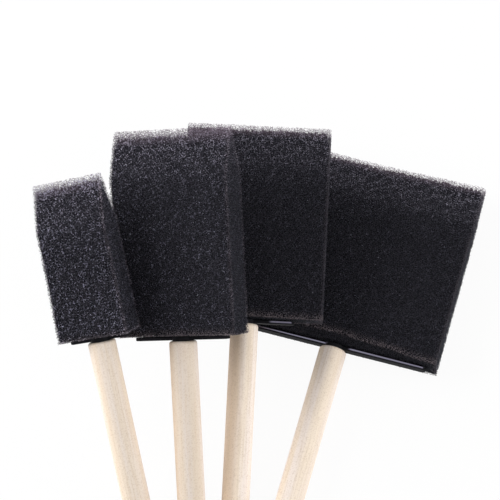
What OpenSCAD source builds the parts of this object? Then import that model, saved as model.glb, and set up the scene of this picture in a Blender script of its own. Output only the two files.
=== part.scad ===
// A set of foam brushes lying fanned out and stacked, with the widest one flat on the table.
// Each brush is a chisel-cut sponge head on a moulded blade, and the blade's barbed stud plugs
// a round wooden handle. Millimetres, +Z up, +Y towards the sponge tips. The origin is on the
// table, under the middle of the flat back face of the wide head.

/* [Sponge heads] */
// Thickness of every sponge head
foam_t = 14; // [11:0.5:17]
// Length of the chisel cut at the tip
bevel_len = 17; // [12:0.5:21]
// Thickness left along the tip
tip_t = 1; // [0.6:0.1:2]
// Width of the narrow head
foam_w_narrow = 26; // [23:0.5:31]
// Width of the small head
foam_w_small = 45; // [38:0.5:50]
// Width of the medium head
foam_w_medium = 52; // [43:0.5:58]
// Width of the wide head
foam_w_wide = 76; // [72:0.5:88]
// Length of the narrow head
foam_h_narrow = 57.5; // [48:0.5:66]
// Length of the small head
foam_h_small = 73.5; // [60:0.5:84]
// Length of the medium head
foam_h_medium = 70.5; // [60:0.5:84]
// Length of the wide head
foam_h_wide = 72.5; // [60:0.5:84]
// Sideways offset of the medium head on its blade, as glued
foam_shift_medium = 2; // [-3:0.1:3]
// Sideways offset of the wide head on its blade, as glued
foam_shift_wide = -1.4; // [-3:0.1:3]
// Sponge left ahead of the blade's leading edge
foam_ahead = 22; // [18:0.5:26]

/* [Moulded blade] */
// Width of the narrow brush's blade
blade_w_narrow = 17; // [14:0.5:20]
// Width of the small and medium brushes' blade
blade_w_middle = 30; // [25:0.5:34]
// Width of the wide brush's blade
blade_w_wide = 63; // [52:0.5:66]
// Blade thickness at the flange
blade_root_t = 2; // [1.6:0.1:2.2]
// Blade thickness at the leading edge
blade_tip_t = 1; // [0.7:0.1:1.4]
// Corner radius at the leading edge
blade_corner_r = 4; // [2:0.5:6]
// Solid border around the windows
blade_rim = 2; // [1.5:0.1:3]
// Solid band below the first row of windows
root_band = 9; // [7:0.5:11]
// Solid band beyond the last row of windows
tip_band = 6; // [5:0.5:8]
// Widest spacing of the windows across the blade
window_pitch = 8; // [6:0.5:10]
// Longest spacing of the windows along the blade
window_row_pitch = 19; // [14:0.5:24]
// Bar between neighbouring windows
window_bar = 2; // [1.5:0.1:3]
// Corner radius of a window
window_corner_r = 1; // [0.5:0.1:1.2]
// Height of the foam barbs above the blade's faces
barb_h = 0.4; // [0.3:0.1:0.6]
// Length of one foam barb
barb_len = 2.5; // [2:0.1:3]
// Clearance between the sponge and the moulding
foam_gap = 0.3; // [0.2:0.05:0.5]

/* [Flange and stud] */
// Thickness of the flange under the sponge
flange_t = 1.2; // [1:0.1:1.8]
// Depth of the flange, front to back
flange_d = 4; // [4:0.5:7]
// Rounding of the flange's edges
flange_edge_r = 0.3; // [0.2:0.1:0.4]
// How far the flange runs past the blade on each side
flange_ledge = 3; // [2:0.5:3.5]
// Diameter of the collar that carries the flange on the handle
collar_d = 7.6; // [7:0.1:8.4]
// How far the collar stands out below the flange
collar_h = 0.3; // [0.2:0.1:1]
// Diameter over the stud's barbs
stud_d = 6; // [5:0.1:6.8]
// Length of the stud
stud_len = 18; // [14:0.5:22]
// Depth of the stud's barbs
stud_barb_h = 0.4; // [0.2:0.1:0.6]
// Spacing of the stud's barbs
stud_barb_pitch = 3; // [2.5:0.1:4]
// Radial clearance of the stud in its hole
stud_gap = 0.05; // [0.02:0.01:0.1]

/* [Wooden handles] */
// Diameter of the handles
handle_d = 10; // [9:0.5:12]
// Length of the handles
handle_len = 88; // [74:1:100]
// Rounding of the handle's free end
handle_end_r = 2.5; // [1.5:0.1:3.5]
// Rounding of the handle's top edge
handle_top_r = 1; // [0.5:0.1:1.2]
// Depth of the drilled hole beyond the stud
hole_spare = 2; // [1:0.5:4]
// Depth of the drill's point at the bottom of the hole
hole_point = 1.8; // [1:0.1:2.5]

/* [Fanned stack] */
// Clearance between two heads that rest on each other
layer_gap = 0.3; // [0.2:0.05:0.5]
// Turn of the wide brush seen from above
yaw_wide = -15.8; // [-18:0.1:-13]
// Turn of the medium brush seen from above
yaw_medium = -3.5; // [-6:0.1:-2]
// Turn of the small brush seen from above
yaw_small = 1.9; // [0:0.1:4]
// Turn of the narrow brush seen from above
yaw_narrow = 11.6; // [9:0.1:14]
// Twist of the medium brush about its handle
roll_medium = 4; // [0:0.1:6]
// Twist of the small brush about its handle
roll_small = -18.7; // [-21:0.1:-15]
// Twist of the narrow brush about its handle
roll_narrow = -19.6; // [-22:0.1:-16]
// Free space between the wide and medium handle ends
end_space_medium = 2.7; // [2:0.1:4]
// Free space between the medium and small handle ends
end_space_small = 3; // [2.5:0.1:5]
// Free space between the small and narrow handle ends
end_space_narrow = 5.3; // [3:0.1:6]
// How far the medium handle ends ahead of the wide one
end_ahead_medium = 4; // [0:0.1:5]
// How far the small handle ends ahead of the wide one
end_ahead_small = -2.2; // [-5:0.1:0]
// How far the narrow handle ends ahead of the wide one
end_ahead_narrow = 0.7; // [-3:0.1:2]

/* [Hidden] */
$fn = 64;
SPONGE_BLACK = "#26262b";
PLASTIC_BLACK = "#101013";
BIRCH = "#ead9bd";
eps = 0.01;
lean_limit = 60;
lean_steps = 22;

// Stations along a brush, measured from the free end of its handle
flange_y = handle_len + collar_h;
blade_y = flange_y + flange_t;
foam_y = blade_y + foam_gap;
flange_end_r = flange_d / 2;
handle_r = handle_d / 2;
slot_extra = barb_h + foam_gap;

// One brush: head width, head length, head shift, blade width, twist, turn
narrow = [foam_w_narrow, foam_h_narrow, 0, blade_w_narrow, roll_narrow, yaw_narrow];
small = [foam_w_small, foam_h_small, 0, blade_w_middle, roll_small, yaw_small];
medium = [foam_w_medium, foam_h_medium, foam_shift_medium, blade_w_middle, roll_medium, yaw_medium];
wide = [foam_w_wide, foam_h_wide, foam_shift_wide, blade_w_wide, 0, yaw_wide];
function foam_w(brush) = brush[0];
function foam_h(brush) = brush[1];
function foam_shift(brush) = brush[2];
function blade_w(brush) = brush[3];
function roll(brush) = brush[4];
function yaw(brush) = brush[5];
function blade_len(brush) = foam_h(brush) - foam_ahead;
function flange_w(brush) = blade_w(brush) + 2 * flange_ledge;
function blade_t_at(brush, y) = blade_root_t + (blade_tip_t - blade_root_t) * y / blade_len(brush);

// Rotation of a brush: its twist first, then its lean, then its turn
function turn_x(a) = [[1, 0, 0], [0, cos(a), -sin(a)], [0, sin(a), cos(a)]];
function turn_y(a) = [[cos(a), 0, sin(a)], [0, 1, 0], [-sin(a), 0, cos(a)]];
function turn_z(a) = [[cos(a), -sin(a), 0], [sin(a), cos(a), 0], [0, 0, 1]];
function turn(brush, lean) = turn_z(yaw(brush)) * turn_x(lean) * turn_y(roll(brush));

// Side outline of a sponge head, as points of (along the brush, front to back)
function head_outline(brush) =
    let (tip = foam_y + foam_h(brush), shoulder = tip - bevel_len)
    [[foam_y, -foam_t / 2], [shoulder, -foam_t / 2], [tip, -tip_t / 2],
        [tip, tip_t / 2], [shoulder, foam_t / 2], [foam_y, foam_t / 2]];

// Convex stand-ins for the stacking: corners, face normals and edge directions
bevel_fall = (foam_t - tip_t) / 2;
head_normals = [[1, 0, 0], [0, 1, 0], [0, 0, 1], [0, bevel_fall, bevel_len], [0, bevel_fall, -bevel_len]];
head_edges = [[1, 0, 0], [0, 1, 0], [0, 0, 1], [0, bevel_len, -bevel_fall], [0, bevel_len, bevel_fall]];
function head_solid(brush) =
    let (sides = [foam_shift(brush) - foam_w(brush) / 2, foam_shift(brush) + foam_w(brush) / 2])
    [[for (x = sides) for (q = head_outline(brush)) [x, q[0], q[1]]], head_normals, head_edges];
handle_corners = [for (y = [0, flange_y]) for (a = [22.5:45:360])
    [handle_r * cos(a), y, handle_r * sin(a)] / cos(22.5)];
handle_normals = concat([[0, 1, 0]], [for (a = [0:45:135]) [cos(a), 0, sin(a)]]);
handle_solid = [handle_corners, handle_normals, handle_normals];

// Height of a leaning handle's end, so that its rounded rim touches the table
function end_height(lean) =
    (handle_r - handle_end_r) * cos(lean) + handle_end_r - handle_end_r * sin(lean);
function seat_on_table(spot, lean) = [spot[0], spot[1], end_height(lean)];
function moved(solid, brush, lean, seat) =
    let (m = turn(brush, lean))
    [[for (c = solid[0]) m * c + seat], [for (n = solid[1]) m * n], [for (e = solid[2]) m * e]];

// Free space between two convex solids: the widest gap along any face normal or edge pair
function gap_along(n, a, b) =
    let (u = n / norm(n), pa = [for (c = a[0]) c * u], pb = [for (c = b[0]) c * u])
    max(min(pa) - max(pb), min(pb) - max(pa));
function free_space(a, b) =
    let (across = [for (e = a[2]) for (f = b[2]) cross(e, f)])
    max([for (n = concat(a[1], b[1], across)) if (norm(n) > eps) gap_along(n, a, b)]);
function lowest(solid) = min([for (c = solid[0]) c[2]]);

// Lean at which a brush just rests on the one below it, found by halving the interval
function space_below(brush, spot, lean, below) =
    let (seat = seat_on_table(spot, lean),
        head = moved(head_solid(brush), brush, lean, seat),
        handle = moved(handle_solid, brush, lean, seat))
    min(free_space(head, below[0]), free_space(handle, below[0]), free_space(head, below[1]),
        lowest(head) + layer_gap);
function lean_on(brush, spot, below, low = 0, high = lean_limit, left = lean_steps) =
    let (mid = (low + high) / 2)
    left == 0 ? high :
    space_below(brush, spot, mid, below) < layer_gap ?
        lean_on(brush, spot, below, mid, high, left - 1) :
        lean_on(brush, spot, below, low, mid, left - 1);
function solids_at(brush, lean, seat) =
    [moved(head_solid(brush), brush, lean, seat), moved(handle_solid, brush, lean, seat)];

// The wide brush lies flat, with the origin under the middle of its back face
wide_middle = foam_y + (foam_h_wide - bevel_len) / 2;
seat_wide = turn_z(yaw_wide) * [-foam_shift_wide, -wide_middle, 0] + [0, 0, foam_t / 2];
// The other handle ends stand beside it, each a handle and a free space further left
spot_medium = [seat_wide[0] - handle_d - end_space_medium, seat_wide[1] + end_ahead_medium];
spot_small = [spot_medium[0] - handle_d - end_space_small, seat_wide[1] + end_ahead_small];
spot_narrow = [spot_small[0] - handle_d - end_space_narrow, seat_wide[1] + end_ahead_narrow];
lean_medium = lean_on(medium, spot_medium, solids_at(wide, 0, seat_wide));
seat_medium = seat_on_table(spot_medium, lean_medium);
lean_small = lean_on(small, spot_small, solids_at(medium, lean_medium, seat_medium));
seat_small = seat_on_table(spot_small, lean_small);
lean_narrow = lean_on(narrow, spot_narrow, solids_at(small, lean_small, seat_small));
seat_narrow = seat_on_table(spot_narrow, lean_narrow);

module place(brush, lean, seat) {
    translate(seat)
        rotate([0, 0, yaw(brush)])
            rotate([lean, 0, 0])
                rotate([0, roll(brush), 0])
                    children();
}

// Extrudes a side outline of (along the brush, front to back) across the given width
module across(width) {
    rotate([90, 0, 90])
        linear_extrude(width, center = true)
            children();
}

// Turns a profile of (radius, station) into a round about the brush's axis
module around() {
    rotate([-90, 0, 0])
        rotate_extrude()
            children();
}

// Pocket for the blade: a wedge that follows its taper, open at the base
module blade_pocket(brush) {
    width = blade_w(brush) + 2 * foam_gap;
    deep = blade_len(brush) + foam_gap;
    root = blade_root_t / 2 + slot_extra;
    tip = blade_tip_t / 2 + slot_extra;
    start = blade_y - foam_gap;
    end = blade_y + deep;
    across(width)
        polygon([[start, -root], [end, -tip], [end, tip], [start, root]]);
}

// Sponge block with a chisel tip and the pocket that the blade sits in
module foam_head(brush) {
    color(SPONGE_BLACK)
        difference() {
            translate([foam_shift(brush), 0, 0])
                across(foam_w(brush))
                    polygon(head_outline(brush));
            blade_pocket(brush);
        }
}

// Flat outline of the blade, with rounded corners at its leading edge
module blade_outline(brush) {
    half = blade_w(brush) / 2 - blade_corner_r;
    length = blade_len(brush);
    union() {
        translate([-blade_w(brush) / 2, 0])
            square([blade_w(brush), length - blade_corner_r]);
        translate([-half, 0])
            square([2 * half, length]);
        for (side = [-1, 1])
            translate([side * half, length - blade_corner_r])
                circle(blade_corner_r);
    }
}

module rounded_window(width, length) {
    translate([window_corner_r - width / 2, 0])
        square([width - 2 * window_corner_r, length]);
    translate([-width / 2, window_corner_r])
        square([width, length - 2 * window_corner_r]);
    for (x = [-1, 1] * (width / 2 - window_corner_r))
        for (y = [window_corner_r, length - window_corner_r])
            translate([x, y])
                circle(window_corner_r);
}

// Windows that the sponge bonds through, in even columns either side of the middle
module blade_windows(brush) {
    span = blade_w(brush) / 2 - blade_rim - window_bar / 2;
    columns = ceil(span / window_pitch);
    step = span / columns;
    run = blade_len(brush) - root_band - tip_band;
    rows = ceil(run / window_row_pitch);
    row_step = run / rows;
    for (side = [-1, 1])
        for (i = [0:columns - 1])
            for (j = [0:rows - 1])
                translate([side * (window_bar / 2 + (i + 0.5) * step), root_band + j * row_step])
                    rounded_window(step - window_bar / 2, row_step - window_bar);
}

// Saw-tooth barb across the blade: square towards the flange, sloping towards the tip
module foam_barb(brush, y) {
    root = blade_t_at(brush, y) / 2;
    far = blade_t_at(brush, y + barb_len) / 2;
    across(blade_w(brush) - 2 * blade_corner_r)
        translate([blade_y, 0])
            polygon([[y, -root - barb_h], [y + barb_len, -far], [y + barb_len, far], [y, root + barb_h]]);
}

// Tapered paddle that stiffens the sponge, from the flange to a thin leading edge
module blade(brush) {
    length = blade_len(brush);
    root = blade_root_t / 2;
    tip = blade_tip_t / 2;
    intersection() {
        translate([0, blade_y, -blade_root_t])
            linear_extrude(2 * blade_root_t)
                difference() {
                    blade_outline(brush);
                    blade_windows(brush);
                }
        across(blade_w(brush) + 2 * foam_gap)
            polygon([[blade_y - eps, -root], [blade_y + length, -tip],
                [blade_y + length, tip], [blade_y - eps, root]]);
    }
    foam_barb(brush, root_band - 2 * barb_len);
    foam_barb(brush, length - tip_band + window_bar);
}

// Cross-section of the flange: a bar with rounded edges
module flange_section() {
    inner_t = flange_t - 2 * flange_edge_r;
    inner_d = flange_d - 2 * flange_edge_r;
    translate([0, -flange_d / 2 + flange_edge_r])
        square([flange_t, inner_d]);
    translate([flange_edge_r, -flange_d / 2])
        square([inner_t, flange_d]);
    for (x = [flange_edge_r, flange_t - flange_edge_r])
        for (y = [-1, 1] * inner_d / 2)
            translate([x, y])
                circle(flange_edge_r);
}

// Half of the same section, as (radius, station), for the round ends
module flange_end_profile() {
    intersection() {
        rotate(90)
            mirror([0, 1])
                flange_section();
        square([flange_d, flange_t]);
    }
}

module flange(brush) {
    run = flange_w(brush) - flange_d;
    translate([0, flange_y, 0]) {
        across(run)
            flange_section();
        for (side = [-1, 1])
            translate([side * run / 2, 0, 0])
                around()
                    flange_end_profile();
    }
}

// Barbed stud: a stack of saw-tooth rings with a tapered nose, below the collar round the flange
module stud() {
    tooth_r = stud_d / 2;
    core_r = tooth_r - stud_barb_h;
    teeth = floor(stud_len / stud_barb_pitch) - 1;
    nose = flange_y - stud_len - collar_h;
    first = nose + stud_len - teeth * stud_barb_pitch;
    saw = [for (i = [0:teeth - 1]) for (q = [[core_r, 0], [tooth_r, stud_barb_pitch]])
        [q[0], first + i * stud_barb_pitch + q[1]]];
    around()
        polygon(concat([[0, nose], [core_r - stud_barb_h, nose], [core_r, first - stud_barb_h]], saw,
            [[tooth_r, flange_y], [0, flange_y]]));
    translate([0, flange_y - collar_h, 0])
        rotate([-90, 0, 0])
            cylinder(d = collar_d, h = collar_h + flange_t);
}

// One moulding: blade, flange, collar and stud
module blade_insert(brush) {
    color(PLASTIC_BLACK)
        union() {
            blade(brush);
            flange(brush);
            stud();
        }
}

// Turned dowel with rounded ends and a blind hole drilled for the stud
module handle() {
    hole_r = stud_d / 2 + stud_gap;
    hole_depth = stud_len + hole_spare;
    color(BIRCH)
        difference() {
            around() {
                square([handle_r - handle_end_r, handle_len / 2]);
                translate([0, handle_end_r])
                    square([handle_r, handle_len - handle_end_r - handle_top_r]);
                translate([0, handle_len / 2])
                    square([handle_r - handle_top_r, handle_len / 2]);
                translate([handle_r - handle_end_r, handle_end_r])
                    circle(handle_end_r);
                translate([handle_r - handle_top_r, handle_len - handle_top_r])
                    circle(handle_top_r);
            }
            translate([0, handle_len + eps, 0])
                rotate([90, 0, 0])
                    cylinder(r = hole_r, h = hole_depth + eps);
            translate([0, handle_len - hole_depth, 0])
                rotate([90, 0, 0])
                    cylinder(r1 = hole_r, r2 = 0, h = hole_point);
        }
}

module foam_head_narrow() {
    place(narrow, lean_narrow, seat_narrow) foam_head(narrow);
}
module blade_insert_narrow() {
    place(narrow, lean_narrow, seat_narrow) blade_insert(narrow);
}
module handle_narrow() {
    place(narrow, lean_narrow, seat_narrow) handle();
}
module foam_head_small() {
    place(small, lean_small, seat_small) foam_head(small);
}
module blade_insert_small() {
    place(small, lean_small, seat_small) blade_insert(small);
}
module handle_small() {
    place(small, lean_small, seat_small) handle();
}
module foam_head_medium() {
    place(medium, lean_medium, seat_medium) foam_head(medium);
}
module blade_insert_medium() {
    place(medium, lean_medium, seat_medium) blade_insert(medium);
}
module handle_medium() {
    place(medium, lean_medium, seat_medium) handle();
}
module foam_head_wide() {
    place(wide, 0, seat_wide) foam_head(wide);
}
module blade_insert_wide() {
    place(wide, 0, seat_wide) blade_insert(wide);
}
module handle_wide() {
    place(wide, 0, seat_wide) handle();
}

foam_head_narrow();
blade_insert_narrow();
handle_narrow();
foam_head_small();
blade_insert_small();
handle_small();
foam_head_medium();
blade_insert_medium();
handle_medium();
foam_head_wide();
blade_insert_wide();
handle_wide();
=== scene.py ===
"""Sponge brushes: the finish of a fanned set of four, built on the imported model."""

import math

import bpy
import numpy as np
from bpy.props import FloatProperty, FloatVectorProperty, IntProperty, PointerProperty
from bpy.types import Operator, Panel, PropertyGroup
from mathutils import Matrix, Vector


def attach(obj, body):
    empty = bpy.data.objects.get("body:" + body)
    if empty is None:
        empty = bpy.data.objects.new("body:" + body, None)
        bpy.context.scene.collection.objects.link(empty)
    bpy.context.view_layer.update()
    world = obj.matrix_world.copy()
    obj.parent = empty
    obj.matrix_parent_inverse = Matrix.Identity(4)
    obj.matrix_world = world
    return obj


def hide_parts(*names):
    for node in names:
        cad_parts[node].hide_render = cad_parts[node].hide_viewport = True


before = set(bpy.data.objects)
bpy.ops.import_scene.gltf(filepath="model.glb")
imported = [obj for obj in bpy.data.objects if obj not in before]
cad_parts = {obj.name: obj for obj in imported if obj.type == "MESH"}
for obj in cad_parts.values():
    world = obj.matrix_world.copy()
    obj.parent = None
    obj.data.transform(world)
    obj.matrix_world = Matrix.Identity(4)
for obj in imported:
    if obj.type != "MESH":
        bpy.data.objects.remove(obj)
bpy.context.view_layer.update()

bl_info = {
    "name": "Sponge brushes",
    "version": (1, 0, 0),
    "blender": (4, 5, 0),
    "location": "3D View > Sidebar > Sponge brushes",
    "description": "Finishes a set of four foam sponge brushes",
    "category": "Add Mesh",
}

MM = 0.001
BRUSHES = ("narrow", "small", "medium", "wide")
BODY = "root"

# Reading the solids
LEVEL = 0.01 * MM  # points whose heights differ by less than this are level
PARALLEL, SQUARE = 0.999, 0.01  # cosines of directions that are taken as one, and as square
PAST_COLLAR = 6 * MM  # further than this from its middle, a moulding is all flange

# The dark inside of a head
CORE_BLEND = 8 * MM  # length under the tip over which it thins out
CORE_TIP_HALF = 0.5 * MM  # half the thickness that it ends with
TOOTH_ROOM = 5 * MM  # length over which its teeth grow
TOOTH_WIDTH = MM  # about how wide they are
WORN_PATCH = 1.3 * MM  # size of the patches where the rims of cells are broken
CUTTER_OUT = 2 * MM  # how far the pocket's cutter stands out of the base

# The threads round it
CUBE = 4  # side of the cube in which the lattice repeats, in its units
CUBE_REACH = 3.5  # from the middle of a cube to past its corners
THREAD_REACH = 1.5  # from one end of a thread to past the other
WARP, WARP_SIZE = 0.8, 3 * MM  # how far the lattice is bent, in its units, and how widely
LOST = 0.06  # share of the threads that is missing all over
SHORTEST = 0.3  # the shortest thread, in thicknesses of one
GIRTHS = (0.7, 1.3)  # the thinnest and the thickest, as shares of the usual one
DULL_TO_LIT = (0.55, 0.97)  # random values of the last dull thread and the first lit one
SHINY, SHINE_BLEND = 0.955, 0.03  # threads of a higher value get a painted glint, after a short blend
SHINY_GIRTH = 1.3  # how much thicker they are

# Where the marks on a head start to fade, and where they end: painted light and shade, the drawn-up
# base and the tip
EDGE_MARK = (0.2 * MM, 1.7 * MM)  # away from a long edge
HEM_MARK = (0.3 * MM, 3.2 * MM)  # up a face from the base
HEM_DEPTH = (0.4 * MM, 1.7 * MM)  # into the base from a face
SIDE_SHADE = (0.1 * MM, 0.7 * MM)  # into the foam from a side
BASE_SHADE = (0.15 * MM, 0.8 * MM)  # up from the base
BASE_PULL = (0, 10 * MM)  # up from the base, where it is drawn up
BASE_WAVE = 14 * MM  # size of the waves in the drawn-up base
TIP_DEPTH = 1.4  # down from the tip, in depths of its see-through lace

# Where the painted reflection on a flange starts, and where it is whole
PAINTED_REFLECTION_DEPTH = (0.35 * MM, 0.1 * MM)  # under its front and back
PAINTED_REFLECTION_SIDE = (3.5 * MM, 5 * MM)  # from the middle of the part that stays matt
PAINTED_REFLECTION_RISE = (-1.35 * MM, -0.95 * MM)  # up towards the foam
MATT_MIDDLE = 3 * MM  # beside the collar

PALEST = 0.95  # the lightest that a colour is made
WEB_CELLS = 1500  # cells to a metre behind the threads
GRAIN_STRETCH = 0.035  # share that the grain keeps of its scale along a handle
TINY = 1e-9  # keeps a division from zero

# Each lamp's name, degrees round the set, degrees up and power
LAMPS = (("left_lamp", 160, 30, 10.6), ("right_lamp", -12, 12, 8.2))
LAMP_WIDTH, TABLE_WIDTH = 0.75, 6  # metres
TABLE_GLOW = 0.94  # share of plain white in the table that the camera sees
SENSOR, VIEW_DEPTH = 36, 20  # of the camera, in millimetres and in metres


# ---------------- properties


def size(name, description, value_mm, least=0.0, most=1000.0):
    """A length in millimetres, kept in metres as Blender does."""
    return FloatProperty(
        name=name, description=description, default=value_mm * MM, min=least * MM,
        max=most * MM, subtype="DISTANCE", unit="LENGTH", precision=5,
    )


def sizes(name, description, values_mm):
    """One length for each brush, from the narrow one to the wide one."""
    return FloatVectorProperty(
        name=name, description=description, default=[value * MM for value in values_mm],
        size=len(BRUSHES), unit="LENGTH", precision=5,
    )


def share(name, description, value):
    """A number from 0 to 1."""
    return FloatProperty(
        name=name, description=description, default=value, min=0, max=1, subtype="FACTOR"
    )


def shares(name, description, values, most=1.0):
    """One number for each brush, from the narrow one to the wide one."""
    return FloatVectorProperty(
        name=name, description=description, default=values, size=len(BRUSHES), min=0, max=most
    )


def strength(name, description, value):
    return FloatProperty(name=name, description=description, default=value, min=0)


def angle(name, description, degrees):
    return FloatProperty(
        name=name, description=description, default=math.radians(degrees), subtype="ANGLE"
    )


def colour(name, description, value):
    return FloatVectorProperty(
        name=name, description=description, default=value, size=3, min=0, max=1, subtype="COLOR"
    )


class SpongeSettings(PropertyGroup):
    """The cut foam heads."""

    cell: size("Cell", "Distance between the cells of the foam", 0.86, 0.3, 3)
    pore_depth: size("Pore depth", "How deep an open cell goes into a cut face", 0.4, 0, 2)
    rim: size("Rim", "Width of the foam left between two cells", 0.26, 0.05, 1)
    grain: size("Face grain", "Distance between the points that shape a face", 0.6, 0.15, 2)
    skin: size("Skin", "Depth of open lattice on every face", 0.34, 0, 5)
    ragged: size("Ragged", "Length of the teeth that the core ends in", 2.6, 0, 5)
    root: size("Root", "How far the threads reach into the core", 0.08, 0, 2)

    lattice_unit: size("Lattice unit", "Scale of the open lattice", 0.26, 0.1, 1)
    askew: share("Askew", "How far the corners of the lattice are knocked out of place", 0.45)
    strut: size("Strut", "Thickness of one thread of the lattice", 0.165, 0.02, 0.5)
    short: share("Stubs", "How much of a thread is cut off where it ends at a face", 0.5)
    fuzz: size("Fuzz", "How far cut threads stand proud of a face", 0.15, 0, 2)
    sparse: share("Sparse tip", "Share of the threads that is missing at the very tip", 0.48)
    clump: size("Clump", "Size of the clumps of threads that are alike", 0.32, 0.1, 3)
    clumping: share("Clumping", "How alike the threads of one clump are", 0.9)
    seed: IntProperty(name="Seed", description="Chooses the arrangement of cells", default=7, min=0)

    tip_lace: sizes("Tip lace", "Depth of the see-through tip", (4.4, 4.5, 3.5, 3.4))
    edge_lace: size("Edge lace", "Radius of the lattice along the long edges", 1.25, 0, 5)
    corner: sizes("Corner", "Rounding of the corners of the tip", (0, 0, 0, 1.8))
    sag: sizes("Sag", "How much lower the middle of the tip is cut", (0, 0, 0, 0.6))
    drop_left: sizes("Left drop", "How much lower the tip is cut on the left", (1.1, 0, 0, 0.4))
    drop_right: sizes("Right drop", "How much lower it is cut on the right", (0.4, 0, 0, 0))
    spread_left: sizes("Left spread", "How far the left side bulges at the base", (0.7, 0, 0, 0))
    spread_right: sizes("Right spread", "How far the right side bulges", (0, 0, 0, 1.5))
    base_lift: sizes(
        "Base lift", "How far the base is drawn up in front of the flange", (0.3, 0.4, 0.5, 2.9)
    )

    # The lightness of each head also paints how much light it gets: upper heads lighter, lower
    # heads darker where their neighbours shade them.
    tones: shares("Tones", "Lightness of each head", (2.56, 1.25, 0.55, 0.5), 5)
    # Painted light near the tip, where light comes through the thinning foam.
    thin_tones: shares("Thin tones", "Lightness of each near its tip", (1.35, 1.35, 1.0, 0.95), 5)
    # Painted glints, dimmer on the heads that lie in shade.
    painted_glint: shares("Sparkle", "How brightly single threads shine", (1.0, 0.9, 0.45, 0.4))
    # Painted shade on the sides of each head.
    side_dim: shares("Side shade", "How much darker the sides are", (0.65, 0.6, 0.45, 0.5))
    # Painted light along the front and back edges of each base.
    hem: shares("Hem", "How clearly the edge of each base shows", (0.3, 1.0, 1.0, 1.0))
    # Painted shade, nearly black, on the base where the flange holds the foam.
    base_dim: share("Base shade", "How much darker the base is, where it is pressed flat", 0.85)
    # Where the painted light through the tip fades out.
    thin_from: size("Light from", "Under the tip, where the foam starts to darken", 4, 0, 100)
    thin_to: size("Light to", "Under the tip, where the foam is fully dark", 26, 0, 100)

    thread_colour: colour("Thread colour", "Threads that catch the light", (0.29, 0.28, 0.37))
    dull_colour: colour("Dull colour", "The darker threads", (0.009, 0.0085, 0.011))
    # Painted light near the tip, where light comes through the foam.
    thin_colour: colour("Thin colour", "Lit threads near the tip", (0.62, 0.58, 0.7))
    thin_dull: colour("Dull thin colour", "Dull threads near the tip", (0.03, 0.027, 0.039))
    # Painted light at the see-through tip, in its threads and in the foam inside.
    tip_light_colour: colour("Tip colour", "Lit threads at the very tip", (0.62, 0.49, 0.6))
    tip_light_dull: colour("Dull tip colour", "Dull threads at the very tip", (0.2, 0.145, 0.185))
    tip_core_light: colour("Tip inside", "Foam inside the tip, which light reaches", (0.13, 0.1, 0.12))
    # Painted light along the cut edges, where light comes through and catches them.
    edge_light_colour: colour("Edge colour", "Lit threads along the cut edges", (0.27, 0.225, 0.25))
    edge_light_dull: colour("Dull edge colour", "Dull threads along them", (0.05, 0.038, 0.045))
    # Painted light along the edges of the base.
    hem_colour: colour("Hem colour", "Lit threads along the base", (0.42, 0.35, 0.37))
    hem_dull: colour("Dull hem colour", "Dull threads along the base", (0.16, 0.132, 0.142))
    # Painted glints on the few brightest threads.
    glint_colour: colour("Bright colour", "The few threads that shine", (0.8, 0.83, 0.95))
    web_colour: colour("Web colour", "Rims of the cells behind the threads", (0.05, 0.048, 0.06))
    # Painted shade down inside the cells; also the colour that the painted shade of sides and base
    # goes to.
    pore_shade: colour("Pore colour", "Foam down inside the cells", (0.004, 0.004, 0.006))


class HandleSettings(PropertyGroup):
    """The turned birch handles."""

    wood: colour("Wood", "Colour of the pale birch", (0.88, 0.785, 0.72))
    warm: colour("Warm wood", "Colour of its yellower bands", (0.87, 0.75, 0.62))
    grain: colour("Grain", "Colour of its darker bands and fibres", (0.74, 0.6, 0.46))
    fleck: colour("Flecks", "Colour of its small dark flecks", (0.5, 0.36, 0.25))
    # Painted shadow down the left side of some handles, warmed by painted light bounced off the
    # handle beside it.
    tan: colour("Tan", "Colour of the darker side of some handles", (0.66, 0.46, 0.27))
    # The lightness of each handle also paints how much light it gets.
    tones: shares("Tones", "Lightness of each handle", (0.97, 0.91, 1.08, 1.08), 5)
    painted_shadow_shares: shares("Tan sides", "How tan the left side of each is", (0.0, 0.55, 0.5, 0.0))
    roughness: share("Roughness", "Roughness of the sanded wood", 0.62)


class PlasticSettings(PropertyGroup):
    """The moulded blade inserts."""

    tint: colour("Plastic", "Colour of the moulded plastic", (0.010, 0.010, 0.012))
    scuffed: colour("Scuffs", "Colour of its rubbed places", (0.03, 0.03, 0.035))
    # Painted reflection: a light metallic stripe along the front and back of the flange.
    painted_reflection: colour("Sheen", "Colour of the burnished faces of the flange", (0.21, 0.2, 0.265))
    matt: share("Matt roughness", "Roughness as it comes from the mould", 0.6)
    # Roughness of the painted reflection stripe.
    roughness: share("Roughness", "Roughness of the burnished faces", 0.25)
    # How strongly the painted reflection shows on each flange.
    gloss: shares("Gloss", "How glossy the flange of each brush is", (0.05, 0.05, 0.8, 1.0))


class StageSettings(PropertyGroup):
    """Table, lights and camera."""

    floor: colour("Floor", "Colour of the table", (0.95, 0.95, 0.95))
    sky: strength("Sky", "Strength of the light all round", 0.5)
    lamp: strength("Lamps", "Strength of the two lamps", 1.0)
    tilt: angle("Tilt", "Lean of the camera away from straight overhead", 19.232)
    swing: angle("Swing", "Sideways lean of the camera", 3.485)
    roll: angle("Roll", "Turn of the camera round its line of sight", -0.194)
    distance: size("Distance", "From the camera to the middle of the view", 1200, 10, 10000)
    lens: FloatProperty(name="Lens", description="Focal length in millimetres", default=237.44)
    aim: FloatVectorProperty(
        name="Aim", description="The point in the middle of the view",
        default=(-36.36 * MM, 5.52 * MM, 20 * MM), subtype="TRANSLATION", precision=5,
    )


# ---------------- shading


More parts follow.
